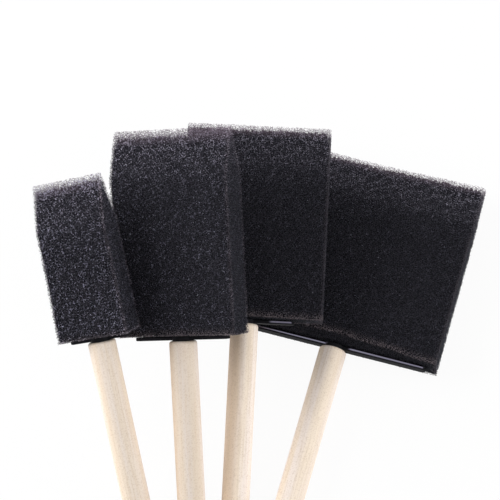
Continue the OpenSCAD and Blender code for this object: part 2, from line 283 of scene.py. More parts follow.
class Sock:
    """One output of a shader tree, with arithmetic."""

    def __init__(self, tree, socket):
        self.tree, self.socket = tree, socket

    def _math(self, operation, *values):
        return self.tree.node("ShaderNodeMath", {"operation": operation}, *values)

    def __add__(self, other):
        return self._math("ADD", self, other)

    def __radd__(self, other):
        return self._math("ADD", other, self)

    def __sub__(self, other):
        return self._math("SUBTRACT", self, other)

    def __rsub__(self, other):
        return self._math("SUBTRACT", other, self)

    def __mul__(self, other):
        return self._math("MULTIPLY", self, other)

    def __rmul__(self, other):
        return self._math("MULTIPLY", other, self)

    def __abs__(self):
        return self._math("ABSOLUTE", self)

    def clamp(self):
        return self.tree.node("ShaderNodeClamp", {}, self, 0.0, 1.0)

    def part(self, axis):
        """One number of a vector: its X, Y or Z."""
        return self.tree.node("ShaderNodeSeparateXYZ", {}, self, out=axis)


class Tree:
    """The nodes of one material or world."""

    def __init__(self, owner):
        owner.use_nodes = True
        self.owner = owner
        self.nodes = owner.node_tree.nodes
        self.links = owner.node_tree.links
        self.nodes.clear()

    def node(self, kind, settings=None, *values, out=0, **named):
        """Adds a node: its settings first, then the values or links of its inputs.

        None leaves an input as it is. out is the name or number of the output to use.
        """
        made = self.nodes.new(kind)
        for key, value in (settings or {}).items():
            setattr(made, key, value)
        for key, value in enumerate(values):
            self._feed(made.inputs[key], value)
        for key, value in named.items():
            self._feed(made.inputs[key.replace("_", " ")], value)
        return Sock(self, made.outputs[out]) if made.outputs else made

    def _feed(self, socket, value):
        if isinstance(value, Sock):
            self.links.new(value.socket, socket)
        elif value is not None:
            if socket.type == "RGBA" and len(value) == 3:
                value = (*value, 1)
            socket.default_value = value

    def mix(self, factor, a, b):
        """Mixes two colours, whose inputs come after those for numbers and vectors."""
        unused = [None] * 5
        return self.node("ShaderNodeMix", {"data_type": "RGBA"}, factor, *unused, a, b, out=2)

    def span(self, value, low, high, new_low=0.0, new_high=1.0):
        """Maps a value smoothly from one range to another."""
        return self.node(
            "ShaderNodeMapRange", {"interpolation_type": "SMOOTHSTEP"},
            value, low, high, new_low, new_high,
        )

    def place(self, axes=None):
        """Object coordinates, laid along a piece's own axes where it has some."""
        spot = self.node("ShaderNodeTexCoord", out="Object")
        if axes is None:
            return spot
        start, turned = tuple(axes.translation), tuple(axes.to_euler("XYZ"))
        return self.node("ShaderNodeMapping", {"vector_type": "TEXTURE"}, spot, start, turned)

    def mark(self, name):
        """A number that the mesh keeps for each point."""
        return self.node("ShaderNodeAttribute", {"attribute_name": name}, out="Fac")

    def noise(self, spot, scale, detail=2.0, roughness=0.5, distortion=0.0):
        """Soft spots, of which a metre holds about scale."""
        return self.node(
            "ShaderNodeTexNoise",
            Vector=spot, Scale=scale, Detail=detail, Roughness=roughness, Distortion=distortion,
        )

    def cell_walls(self, spot, scale):
        """Distance to the wall between two cells, of which a metre holds scale."""
        return self.node(
            "ShaderNodeTexVoronoi", {"feature": "DISTANCE_TO_EDGE"}, Vector=spot, Scale=scale
        )

    def bump(self, height, strength, distance):
        return self.node("ShaderNodeBump", Strength=strength, Distance=distance, Height=height)

    def surface(self, **named):
        return self.node("ShaderNodeBsdfPrincipled", **named)

    def finish(self, shader):
        """Ends the tree in the output of a material or of a world."""
        kind = "World" if isinstance(self.owner, bpy.types.World) else "Material"
        self.node("ShaderNodeOutput" + kind, {}, shader)


def new_material(name):
    return Tree(bpy.data.materials.new(name))


# ---------------- the frame


def rows(values):
    return np.array([tuple(v) for v in values], float)


def node_points(node):
    return rows(v.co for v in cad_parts[node].data.vertices)


def brush_axes(name):
    """A brush's own axes, which start in the middle of the base of its head.

    x goes across the head, y towards its tip and z out of its front face.
    """
    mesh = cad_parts["foam_head_" + name].data
    normals = rows(p.normal for p in mesh.polygons)
    areas = np.array([p.area for p in mesh.polygons])

    def widest(allowed):
        """The direction that the largest of the allowed flat sides looks in."""
        best, found = 0.0, None
        for normal in np.unique(np.round(normals[allowed], 3), axis=0):
            along = np.abs(normals @ normal) > PARALLEL * np.linalg.norm(normal)
            if areas[along].sum() > best:
                best, found = areas[along].sum(), normals[along & allowed][0]
        return found / np.linalg.norm(found)

    z = widest(np.ones(len(areas), bool))
    x = widest(np.abs(normals @ z) < SQUARE)
    z *= np.sign(z[2])
    y = np.cross(z, x)
    points = node_points("foam_head_" + name)
    along = points.mean(0) - node_points("handle_" + name).mean(0)
    if y @ along < 0:
        x, y = -x, -y
    turned = np.array([x, y, z])
    own = points @ turned.T
    low, high = own.min(0), own.max(0)
    origin = np.array([(low[0] + high[0]) / 2, low[1], (low[2] + high[2]) / 2]) @ turned
    return Matrix([[x[i], y[i], z[i], origin[i]] for i in range(3)] + [[0, 0, 0, 1]])


def to_own(axes, points):
    """Points of the set in a brush's own axes."""
    back = np.array(axes.inverted())
    return points @ back[:3, :3].T + back[:3, 3]


def head_shape(name):
    """Sizes of one head, read from its solid: the block, its chisel tip, pocket and flange."""
    axes = brush_axes(name)
    own = to_own(axes, node_points("foam_head_" + name))
    half_w, height, half_t = own[:, 0].max(), own[:, 1].max(), own[:, 2].max()
    thick = own[np.abs(own[:, 2]) > half_t - LEVEL]
    tip = own[own[:, 1] > height - LEVEL]
    inner = own[(np.abs(own[:, 0]) < half_w - MM) & (own[:, 1] < height - MM)]
    mouth = inner[inner[:, 1] < LEVEL]
    deep = inner[inner[:, 1] > inner[:, 1].max() - LEVEL]
    flange = to_own(axes, node_points("blade_insert_" + name))
    flange = flange[(flange[:, 1] < -0.1 * MM) & (np.abs(flange[:, 0]) > PAST_COLLAR)]
    return {
        "axes": axes,
        "flange_x": np.abs(flange[:, 0]).max(),
        "flange_z": np.abs(flange[:, 2]).max(),
        "half_w": half_w,
        "height": height,
        "half_t": half_t,
        "bevel_y": thick[:, 1].max(),
        "tip_half": np.abs(tip[:, 2]).max(),
        "pocket_x": (mouth[:, 0].min(), mouth[:, 0].max()),
        "pocket_z": (np.abs(mouth[:, 2]).max(), np.abs(deep[:, 2]).max()),
        "pocket_y": inner[:, 1].max(),
    }


def head_cut(tools, number):
    """How one head is cut: the settings that differ from head to head."""
    labels = (
        "tip_lace", "corner", "sag", "drop_left", "drop_right", "spread_left", "spread_right",
        "base_lift", "side_dim", "hem",
    )
    return {label: getattr(tools, label)[number] for label in labels}


# ---------------- modelling


def deselect():
    if bpy.context.object and bpy.context.object.mode != "OBJECT":
        bpy.ops.object.mode_set(mode="OBJECT")
    bpy.ops.object.select_all(action="DESELECT")


def add_block(name, low, high):
    """A box between two corners, ready to shape."""
    deselect()
    bpy.ops.mesh.primitive_cube_add(size=1, location=[(a + b) / 2 for a, b in zip(low, high)])
    piece = bpy.context.object
    piece.name = piece.data.name = name
    piece.scale = [b - a for a, b in zip(low, high)]
    bpy.ops.object.transform_apply(location=True, rotation=True, scale=True)
    return piece


def pick(piece, kind, test):
    """In edit mode, selects only the vertices or edges that pass a test."""
    bpy.ops.mesh.select_mode(type=kind)
    bpy.ops.mesh.select_all(action="DESELECT")
    bpy.ops.object.mode_set(mode="OBJECT")
    for item in {"VERT": piece.data.vertices, "EDGE": piece.data.edges}[kind]:
        item.select = bool(test(item))
    bpy.ops.object.mode_set(mode="EDIT")


def cut_across(y):
    """Puts a loop of edges round the whole piece at one height."""
    bpy.ops.mesh.select_all(action="SELECT")
    bpy.ops.mesh.bisect(plane_co=(0, y, 0), plane_no=(0, 1, 0))


def pinch(piece, y, wide, thick):
    """Narrows the loop at one height."""
    pick(piece, "VERT", lambda v: abs(v.co.y - y) < LEVEL)
    bpy.ops.transform.resize(value=(wide, 1, thick), center_override=(0, y, 0))


def apply_modifier(piece, kind, **settings):
    deselect()
    piece.select_set(True)
    bpy.context.view_layer.objects.active = piece
    made = piece.modifiers.new(kind.title(), kind)
    for key, value in settings.items():
        setattr(made, key, value)
    bpy.ops.object.modifier_apply(modifier=made.name)


def keep_mark(mesh, label, values):
    """Keeps a number for each point of a mesh, for its material to read."""
    made = mesh.attributes.new(label, "FLOAT", "POINT")
    made.data.foreach_set("value", values.astype(np.float32))


def dress(piece, material):
    """Gives a piece one material in the place of what it has."""
    piece.data.materials.clear()
    piece.data.materials.append(material)


def finish_piece(piece, axes, node, material):
    """Lays a piece that was made upright on its brush and hands it over."""
    piece.data.transform(axes)
    piece.data.update()
    dress(piece, material)
    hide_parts(node)
    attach(piece, BODY)


class Cells:
    """Random cell centres, one in each cube of a grid, the same every time."""

    TABLE = 4096
    SCATTER = np.array([73856093, 19349663, 83492791])    # primes that spread cubes over the table
    MARGIN = 0.1    # share of a cube at each of its sides that its centre stays out of
    AROUND = [(i, j, k) for i in (-1, 0, 1) for j in (-1, 0, 1) for k in (-1, 0, 1)]
    FAR = 9.0       # further than any centre, in cubes

    def __init__(self, spacing, seed):
        self.spacing = spacing
        self.jitter = np.random.default_rng(seed).random((self.TABLE, 4))

    def nearest(self, points):
        """Distances to the three nearest centres, and a random value of the nearest cell."""
        grid = points / self.spacing
        home = np.floor(grid).astype(np.int64)
        near = np.full((3, len(points)), self.FAR)
        own = np.zeros(len(points))
        for step in self.AROUND:
            cube = home + step
            jitter = self.jitter[np.bitwise_xor.reduce(cube * self.SCATTER, axis=1) % self.TABLE]
            centre = cube + self.MARGIN + (1 - 2 * self.MARGIN) * jitter[:, :3]
            away = np.linalg.norm(centre - grid, axis=1)
            own = np.where(away < near[0], jitter[:, 3], own)
            third = np.minimum(np.maximum(away, near[1]), near[2])
            second = np.minimum(np.maximum(away, near[0]), near[1])
            near = np.array([np.minimum(away, near[0]), second, third])
        return near * self.spacing, own


def ease(value, low, high):
    """Goes smoothly from 0 to 1 between two values."""
    t = np.clip((value - low) / (high - low), 0, 1)
    return t * t * (3 - 2 * t)


def ripple(points, seed, reach, rounds=5):
    """A random field between about -1 and 1, with waves about as long as its reach."""
    rng = np.random.default_rng(seed)
    total = np.zeros(len(points))
    for _ in range(rounds):
        way = rng.normal(size=3)
        way *= 2 * math.pi / reach * rng.uniform(0.6, 1.4) / np.linalg.norm(way)
        total += np.sin(points @ way + rng.uniform(0, 2 * math.pi))
    return total / rounds ** 0.5


def half_thickness(shape, y):
    """Half the thickness of the head at a height."""
    slope = (shape["half_t"] - shape["tip_half"]) / (shape["height"] - shape["bevel_y"])
    return np.minimum(shape["half_t"], shape["tip_half"] + (shape["height"] - y) * slope)


def core_top(shape, tools):
    """Height of the longest teeth that the solid core ends in."""
    return shape["height"] - shape["tip_lace"] + tools.ragged


def core_fade(shape, tools, y):
    """0 where the solid core is whole, 1 at its top."""
    start = shape["height"] - CORE_BLEND
    return np.clip((y - start) / (core_top(shape, tools) - start), 0, 1)


def core_half(shape, tools, y):
    """Half the thickness of the solid core, which thins out into the lattice."""
    at_end = half_thickness(shape, core_top(shape, tools)) - tools.skin - CORE_TIP_HALF
    return half_thickness(shape, y) - tools.skin - at_end * core_fade(shape, tools, y)


def core_half_width(shape, tools, y):
    return shape["half_w"] - tools.skin - tools.edge_lace * core_fade(shape, tools, y)


def core_block(name, shape, tools):
    """The solid part of a head: a chisel block with rounded long edges."""
    blend, top = shape["height"] - CORE_BLEND, core_top(shape, tools)
    half_w = core_half_width(shape, tools, 0)
    half_t = core_half(shape, tools, 0)
    piece = add_block(name, (-half_w, tools.skin, -half_t), (half_w, top, half_t))
    bpy.ops.object.mode_set(mode="EDIT")
    for y in (shape["bevel_y"], blend):
        cut_across(y)
    for y in (blend, top):
        wide, thick = core_half_width(shape, tools, y), core_half(shape, tools, y)
        pinch(piece, y, wide / half_w, thick / half_t)
    spots = piece.data.vertices
    pick(piece, "EDGE", lambda e: abs(spots[e.vertices[0]].co.y - spots[e.vertices[1]].co.y) > MM)
    bpy.ops.mesh.bevel(offset=tools.edge_lace, segments=3, affect="EDGES", clamp_overlap=True)
    bpy.ops.object.mode_set(mode="OBJECT")
    return piece


def open_pores(piece, shape, tools, cells):
    """Sinks the cells of the foam into every face and cuts its teeth.

    Each point keeps how high it stands out of the pores and how near the tip it is.
    """
    mesh = piece.data
    points = np.empty(len(mesh.vertices) * 3)
    normals = np.empty(len(mesh.vertices) * 3)
    mesh.vertices.foreach_get("co", points)
    mesh.vertex_normals.foreach_get("vector", normals)
    points, normals = points.reshape(-1, 3), normals.reshape(-1, 3)

    # Rims and knots stand, but lower where they are worn, and each cell is a bowl of its own depth.
    (first, second, third), own = cells.nearest(points)
    whole = ease(ripple(points, tools.seed + 11, WORN_PATCH), -0.9, 0.3)
    rim = 1 - ease(second - first, 0.2 * tools.rim, 1.5 * tools.rim)
    knot = 1 - ease(third - first, 0, 1.3 * tools.rim)
    stand = np.clip(rim * (0.35 + 0.65 * whole) + 0.5 * knot, 0, 1)
    bowl = 0.55 + 0.45 * own
    sink = tools.pore_depth * (1 - stand) * bowl
    points = points - normals * sink[:, None]

    top = core_top(shape, tools)
    high = ease(points[:, 1], top - TOOTH_ROOM, top)
    wave = ripple(points * (1, 0, 1), tools.seed + 5, TOOTH_WIDTH)
    points[:, 1] -= high * tools.ragged * np.clip(0.5 + 0.8 * wave, 0, 1)
    mesh.vertices.foreach_set("co", points.ravel())
    mesh.update()
    keep_mark(mesh, "stand", stand)
    keep_mark(mesh, "tip", tip_closeness(shape, points))


def cut_pocket(piece, shape):
    """Cuts the tapered pocket that the moulded blade sits in."""
    left, right = shape["pocket_x"]
    deep = shape["pocket_y"]
    mouth, end = shape["pocket_z"]
    cutter = add_block("cutter", (left, -CUTTER_OUT, -mouth), (right, deep, mouth))
    bpy.ops.object.mode_set(mode="EDIT")
    pinch(cutter, deep, 1, end / mouth)
    bpy.ops.object.mode_set(mode="OBJECT")
    apply_modifier(piece, "BOOLEAN", object=cutter, operation="DIFFERENCE", solver="EXACT")
    bpy.data.objects.remove(cutter)


def foam_core(name, shape, tools, cells):
    """The dark inside of a head, with its pores, teeth and pocket."""
    piece = core_block("foam_" + name, shape, tools)
    apply_modifier(piece, "REMESH", mode="VOXEL", voxel_size=tools.grain)
    open_pores(piece, shape, tools, cells)
    cut_pocket(piece, shape)
    points = settle(shape, rows(v.co for v in piece.data.vertices))
    piece.data.vertices.foreach_set("co", points.ravel())
    piece.data.update()
    bpy.ops.object.shade_flat()
    return piece


def pocket_depth(shape, points):
    """How deep points are inside the blade's pocket; below zero is in the foam."""
    x, y, z = points.T
    (left, right), (mouth, end) = shape["pocket_x"], shape["pocket_z"]
    half = mouth + (end - mouth) * np.clip(y / shape["pocket_y"], 0, 1)
    return np.min([x - left, right - x, half - np.abs(z), shape["pocket_y"] - y], axis=0)


def rounded(across, through, radius, *others):
    """Distance out of a block that is rounded where two of its sides meet."""
    corner = np.hypot(np.maximum(across + radius, 0), np.maximum(through + radius, 0)) - radius
    near = (across > -radius) & (through > -radius)
    return np.max([np.where(near, corner, np.maximum(across, through)), *others], axis=0)


def outside(shape, points):
    """How far points stand out of the head's full shape; below zero is inside."""
    x, y, z = points.T
    through = np.abs(z) - half_thickness(shape, y)
    front = rounded(np.abs(x) - shape["half_w"], y - shape["height"], shape["corner"], -y, through)
    return np.maximum(front, pocket_depth(shape, points))


def outside_core(shape, tools, points):
    """How far points stand out of the solid core."""
    x, y, z = points.T
    top = shape["height"] - shape["tip_lace"]
    across = np.abs(x) - core_half_width(shape, tools, y)
    through = np.abs(z) - core_half(shape, tools, np.minimum(y, top))
    return rounded(across, through, tools.edge_lace, y - top, tools.skin - y)


def lattice_corners():
    """The twelve corners of packed fourteen-sided cells that repeat in every cube."""
    return np.array([
        [{odd: step, two: 2}.get(axis, 0) for axis in range(3)]
        for odd in range(3) for step in (1, 3) for two in range(3) if two != odd
    ])


def joined_pairs(grid):
    """Numbers of every two corners that a thread of the lattice joins."""
    steps = ((1, 1, 0), (1, -1, 0), (0, 1, 1), (0, 1, -1), (1, 0, 1), (1, 0, -1))
    shift = grid - grid.min(0) + CUBE
    width = int(shift.max()) + 2 * CUBE
    keys = (shift[:, 0] * width + shift[:, 1]) * width + shift[:, 2]
    order = np.argsort(keys)
    ranked = keys[order]
    pairs = []
    for step in steps:
        wanted = keys + (step[0] * width + step[1]) * width + step[2]
        at = np.minimum(np.searchsorted(ranked, wanted), len(ranked) - 1)
        found = np.nonzero(ranked[at] == wanted)[0]
        pairs.append(np.stack([found, order[at[found]]], 1))
    return np.concatenate(pairs)


def lattice_threads(shape, tools, rng):
    """Both ends of every thread in the open foam round a head's core."""
    unit = tools.lattice_unit
    turn = np.linalg.qr(rng.normal(size=(3, 3)))[0]
    low = np.array([-shape["half_w"], 0, -shape["half_t"]])
    high = np.array([shape["half_w"], shape["height"], shape["half_t"]])
    centre = (low + high) / 2

    def laid(grid):
        """Where corners of the lattice lie in the head."""
        return (grid * unit) @ turn.T + centre

    def near_skin(grid, slack):
        spots = laid(grid)
        inner = outside_core(shape, tools, spots) > -slack - tools.root
        return (outside(shape, spots) < slack) & inner

    reach = np.ceil(np.abs(turn.T) @ ((high - low) / 2) / (CUBE * unit)).astype(int) + 1
    cubes = np.stack(np.meshgrid(*[np.arange(-r, r + 1) for r in reach], indexing="ij"), -1)
    cubes = cubes.reshape(-1, 3) * CUBE
    cubes = cubes[near_skin(cubes + CUBE // 2, CUBE_REACH * unit)]
    grid = (cubes[:, None] + lattice_corners()).reshape(-1, 3)
    grid = grid[near_skin(grid, THREAD_REACH * unit)]
    spots = laid(grid)
    spots += rng.normal(scale=tools.askew * unit, size=spots.shape)
    bends = [ripple(spots, tools.seed + axis, WARP_SIZE) for axis in range(3)]
    spots += WARP * unit * np.stack(bends, 1)
    pairs = joined_pairs(grid)
    pairs = pairs[rng.random(len(pairs)) > LOST]
    return spots[pairs[:, 0]], spots[pairs[:, 1]]


def trim_threads(shape, tools, rng, a, b):
    """Cuts the threads off near the faces of the head, and keeps those that are left.

    Some are missing at its tip, and those inside its core are dropped.
    """
    swap = outside(shape, a) > outside(shape, b)
    a, b = np.where(swap[:, None], b, a), np.where(swap[:, None], a, b)
    proud = rng.uniform(0, tools.fuzz, len(a))
    out_a, out_b = outside(shape, a) - proud, outside(shape, b) - proud
    cut = np.clip(-out_a / np.maximum(out_b - out_a, TINY), 0, 1)
    b = np.where((out_b > 0)[:, None], a + (b - a) * cut[:, None], b)
    middle = (a + b) / 2
    missing = tools.sparse * (1 - ease(shape["height"] - middle[:, 1], 0, shape["tip_lace"]))
    good = (out_a < 0) & (np.linalg.norm(b - a, axis=1) > SHORTEST * tools.strut)
    good &= (outside_core(shape, tools, middle) > -tools.root) & (rng.random(len(a)) > missing)
    return a[good], b[good]


def foam_lace(name, shape, tools, seed):
    """The open lattice of a head: its skin, its see-through tip and its long edges."""
    rng = np.random.default_rng(seed)
    a, b = trim_threads(shape, tools, rng, *lattice_threads(shape, tools, rng))
    middle = (a + b) / 2
    under = shape["height"] - middle[:, 1]
    tip = tip_closeness(shape, middle)
    edge = edge_closeness(shape, middle)
    clumps = Cells(tools.clump, seed)
    chance = np.stack([clumps.nearest(ends)[1] for ends in (a, b)], 1)
    chance = tools.clumping * chance + (1 - tools.clumping) * rng.random((len(a), 2))
    girth = (1 - 0.05 * tip) * np.where(chance.max(1) > SHINY, SHINY_GIRTH, 1)
    marks = {
        "thread": chance,
        # painted light near the tip
        "thin": 1 - ease(under, tools.thin_from, tools.thin_to),
        "tip": tip,
        "edge": edge,
        # painted shade on sides and base, and below it painted light along the base
        "dim": shade(shape, tools, middle, edge),
        "hem": shape["hem"] * hem_closeness(shape, middle),
    }
    deep = ease(under, shape["tip_lace"], 2 * shape["tip_lace"])
    stub = (1 - tools.short) * (deep * (1 - edge))[:, None]
    a, b = a + (b - a) * stub / 2, b + (a - b) * stub / 2
    a, b = settle(shape, a), settle(shape, b)
    return make_threads("lace_" + name, a, b, tools.strut / 2 * girth, marks, rng)


def tip_closeness(shape, points):
    """1 at the very tip of a head, 0 a little below its see-through lace."""
    return 1 - ease(shape["height"] - points[:, 1], 0, TIP_DEPTH * shape["tip_lace"])


def edge_closeness(shape, points):
    """1 on the cut edges of a head, 0 away from them."""
    x, y, z = points.T
    side, face = shape["half_w"] - np.abs(x), half_thickness(shape, y) - np.abs(z)
    gaps = np.sort([side, face, y, shape["height"] - y], axis=0)
    return 1 - ease(gaps[1], *EDGE_MARK)


def hem_closeness(shape, points):
    """Where the painted light along the base goes: 1 along the front and back edges of the base of
    a head, fading up its faces.
    """
    x, y, z = points.T
    face = 1 - ease(half_thickness(shape, y) - np.abs(z), *HEM_DEPTH)
    return face * (1 - ease(y, *HEM_MARK))


def shade(shape, tools, points, edge):
    """How much painted shade a place on a head gets: its sides are painted darker and its base,
    where the flange holds it, nearly black, less along the cut edges.
    """
    x, y, z = points.T
    side = 1 - ease(shape["half_w"] - np.abs(x), *SIDE_SHADE)
    held = np.abs(x) < shape["flange_x"]
    base = tools.base_dim * held * (1 - ease(y, *BASE_SHADE)) * (1 - edge)
    return np.maximum(shape["side_dim"] * side * (1 - 0.7 * edge), base)


def settle(shape, points):
    """Where foam cut by hand really lies.

    It is drawn up in front of the flange, its sides bulge, and its tip is out of square.
    """
    x, y, z = points.T
    across = np.clip(x / shape["half_w"], -1, 1)
    bow = np.cos(math.pi / 2 * across)
    low = 1 - 0.8 * ease(y, 0, shape["height"] / 2)
    high = ease(y, shape["height"] / 2, shape["height"])
    front = ease(z, shape["flange_z"], shape["half_t"]) * (1 - ease(y, *BASE_PULL))
    arch = (0.25 + 0.75 * bow) * (1 - 0.3 * across)
    arch += 0.09 * ripple(points * (1, 0, 0), 3, BASE_WAVE)
    drop = shape["drop_left"] + (shape["drop_right"] - shape["drop_left"]) * (across + 1) / 2
    drop += shape["sag"] * bow ** 2
    moved = points.copy()
    moved[:, 0] += shape["spread_right"] * ease(across, 0.5, 1)
    moved[:, 0] -= shape["spread_left"] * ease(-across, 0.2, 1) * low
    moved[:, 1] += shape["base_lift"] * front * arch - drop * high
    return moved


def make_threads(name, a, b, radius, marks, rng):
    """One closed four-faced sliver for each thread, whose two ends are wide across each other."""
    count = len(a)
    along = b - a
    along /= np.linalg.norm(along, axis=1)[:, None]
    side = np.cross(along, rng.normal(size=(count, 3)))
    side /= np.linalg.norm(side, axis=1)[:, None]
    up = np.cross(along, side)
    thick = (radius * rng.uniform(*GIRTHS, count))[:, None]
    a, b = a - along * thick / 3, b + along * thick / 3
    points = np.stack([a - side * thick, a + side * thick, b - up * thick, b + up * thick], 1)
    faces = np.array([[0, 1, 2], [1, 0, 3], [0, 2, 3], [1, 3, 2]])
    loops = (np.arange(count)[:, None] * 4 + faces.ravel()).ravel()

    mesh = bpy.data.meshes.new(name)
    mesh.vertices.add(4 * count)
    mesh.vertices.foreach_set("co", points.ravel())
    mesh.loops.add(len(loops))
    mesh.loops.foreach_set("vertex_index", loops.astype(np.int32))
    mesh.polygons.add(len(faces) * count)
    mesh.polygons.foreach_set("loop_start", np.arange(0, len(loops), 3, dtype=np.int32))
    mesh.update(calc_edges=True)
    for label, values in marks.items():
        keep_mark(mesh, label, np.repeat(values, 2 if values.ndim > 1 else 4))

    # Each thread has a square of its own in the OFBake map.
    across = math.ceil(math.sqrt(count))
    square = np.stack([np.arange(count) % across, np.arange(count) // across], 1)
    low, high = 0.15, 0.85
    corners = np.array([[low, low], [high, high], [high, low], [low, high]])
    spots = (square[:, None] + corners[faces.ravel()]) / across
    made = mesh.uv_layers.new(name="OFBake")
    made.data.foreach_set("uv", spots.ravel().astype(np.float32))
    piece = bpy.data.objects.new(name, mesh)
    bpy.context.collection.objects.link(piece)
    return piece


# ---------------- materials


def scaled(tint, lightness):
    """A lighter or darker form of a colour, of the same hue."""
    lightness = min(lightness, PALEST / max(tint))
    return tuple(lightness * part for part in tint)


def foam_material(tools):
    """The dark inside of the foam, behind its open threads, with painted shade in its pores and
    painted light at the tip.
    """
    tree = new_material("foam_inside")
    web = 1 - tree.span(tree.cell_walls(tree.place(), WEB_CELLS), 0.02, 0.14)
    # Painted shade: darker between the web's rims and lower down in the pores.
    shown = web * (0.35 + 0.65 * tree.mark("stand"))
    tone = tree.mix(shown, tools.pore_shade, tools.web_colour)
    # Painted light in the foam inside the tip.
    tone = tree.mix(tree.mark("tip"), tone, tools.tip_core_light)
    tree.finish(tree.surface(Base_Color=tone, Roughness=0.9, Specular_IOR_Level=0.1))
    return tree.owner


def lace_material(name, number, tools):
    """Single threads of the foam: most are dull, some catch the light, a few carry painted glints,
    and places get painted light and shade.
    """
    tree = new_material("foam_threads_" + name)
    # Each head's lightness also paints how much light it gets.
    tone, through_light_tone = tools.tones[number], tools.thin_tones[number]
    thread, thin, edge, tip, hem, dim = (
        tree.mark(label) for label in ("thread", "thin", "edge", "tip", "hem", "dim")
    )
    lit, dull = scaled(tools.thread_colour, tone), scaled(tools.dull_colour, tone)
    thin_colour, thin_dull = (
        scaled(tint, through_light_tone) for tint in (tools.thin_colour, tools.thin_dull)
    )
    tip_light_colour = tuple(max(pair) for pair in zip(tools.tip_light_colour, lit))
    places = (
        # painted light near the tip, along the edges, at the very tip and along the base: where and
        # in which colour for the lit threads, then for the dull ones
        (thin * 0.8, thin_colour, thin, thin_dull),
        (edge * 0.7, scaled(tools.edge_light_colour, tone), edge * 0.8, tools.edge_light_dull),
        (tip * 0.7, tip_light_colour, tip * 0.9, tools.tip_light_dull),
        (hem, tools.hem_colour, hem, tools.hem_dull),
    )
    for lit_place, lit_tint, dull_place, dull_tint in places:
        lit = tree.mix(lit_place, lit, lit_tint)
        dull = tree.mix(dull_place, dull, dull_tint)

    mixed = tree.mix(tree.span(thread + 0.1 * thin, *DULL_TO_LIT), dull, lit)
    # Painted glints on the few brightest threads.
    shine = tree.span(thread, SHINY - SHINE_BLEND, SHINY) * tools.painted_glint[number]
    mixed = tree.mix(shine, mixed, tools.glint_colour)
    # Painted shade on the sides and the base.
    mixed = tree.mix(dim, mixed, tools.pore_shade)
    tree.finish(tree.surface(
        Base_Color=mixed,
        Roughness=tree.span(thread, 0.3, 1.0, new_low=0.5, new_high=0.22),
        Specular_IOR_Level=0.5,
        Specular_Tint=(0.78, 0.82, 1.0, 1.0),
    ))
    return tree.owner


def birch_material(name, number, tools):
    """Sanded pale birch: soft bands and fine fibres along the handle, with painted shadow down the
    left side of some.
    """
    tree = new_material("birch_" + name)
    own = tree.place(brush_axes(name))
    seed = number + 0.37    # moves each handle to a place of its own in the grain
    along = tree.node(
        "ShaderNodeMapping", {"vector_type": "POINT"},
        own, (seed, 3 * seed, 0), None, (1, GRAIN_STRETCH, 1),
    )
    bands = tree.noise(along, 130, distortion=0.2)
    warm = tree.noise(along, 210)
    fibres = tree.noise(along, 1500, detail=3, roughness=0.6)
    flecks = tree.noise(own, 1900, detail=3, roughness=0.65)
    # Painted shadow down the left side of a handle, with a wavy edge.
    side = tree.span(own.part("X") + 3 * MM * (bands - 0.5), -1.2 * MM, -4.2 * MM)

    # Each handle's lightness also paints how much light it gets.
    wood, yellower = (scaled(tint, tools.tones[number]) for tint in (tools.wood, tools.warm))
    tone = tree.mix(tree.span(warm, 0.4, 0.65), wood, yellower)
    tone = tree.mix(tree.span(bands, 0.48, 0.72) * 0.5, tone, tools.grain)
    tone = tree.mix(side * tools.painted_shadow_shares[number], tone, tools.tan)
    tone = tree.mix(tree.span(fibres, 0.46, 0.64) * 0.42, tone, tools.grain)
    tone = tree.mix(tree.span(flecks, 0.5, 0.64) * 0.3, tone, tools.fleck)
    tree.finish(tree.surface(
        Base_Color=tone,
        Roughness=tools.roughness + 0.12 * fibres,
        Specular_IOR_Level=0.15,
        Normal=tree.bump(fibres + 0.5 * flecks, strength=0.25, distance=0.05 * MM),
    ))
    return tree.owner


def plastic_material(name, number, tools):
    """Black plastic: matt from the mould, with a painted reflection, a light metallic stripe, on
    the front and back of the flange.
    """
    tree = new_material("black_plastic_" + name)
    shape = head_shape(name)
    own = tree.place(shape["axes"])
    waves = tree.noise(own, 180)
    scuffs = tree.span(tree.noise(own, 900, detail=4, roughness=0.7), 0.5, 0.8)

    x, y, z = (own.part(axis) for axis in "XYZ")
    # Painted reflection: a stripe on the flange's front and back faces, towards the foam and not
    # beside the collar.
    flat = tree.span(abs(z), *(shape["flange_z"] - depth for depth in PAINTED_REFLECTION_DEPTH))
    aside = tree.span(abs(x - MATT_MIDDLE), *PAINTED_REFLECTION_SIDE)
    upper = tree.span(y, *PAINTED_REFLECTION_RISE)
    face = flat * aside * tools.gloss[number] * upper
    crown = y * face * 0.35
    moulded = tree.mix(scuffs * 0.25, tools.tint, tools.scuffed)
    tree.finish(tree.surface(
        Base_Color=tree.mix(face, moulded, tools.painted_reflection),
        Metallic=face,
        Roughness=tools.matt - 0.1 * scuffs - face * (tools.matt - tools.roughness),
        Specular_IOR_Level=0.05,
        Normal=tree.bump(waves * (0.05 * MM) + crown, strength=1.0, distance=1.0),
    ))
    return tree.owner


# ---------------- operators


def settings():
    return bpy.context.scene.sponge_brushes


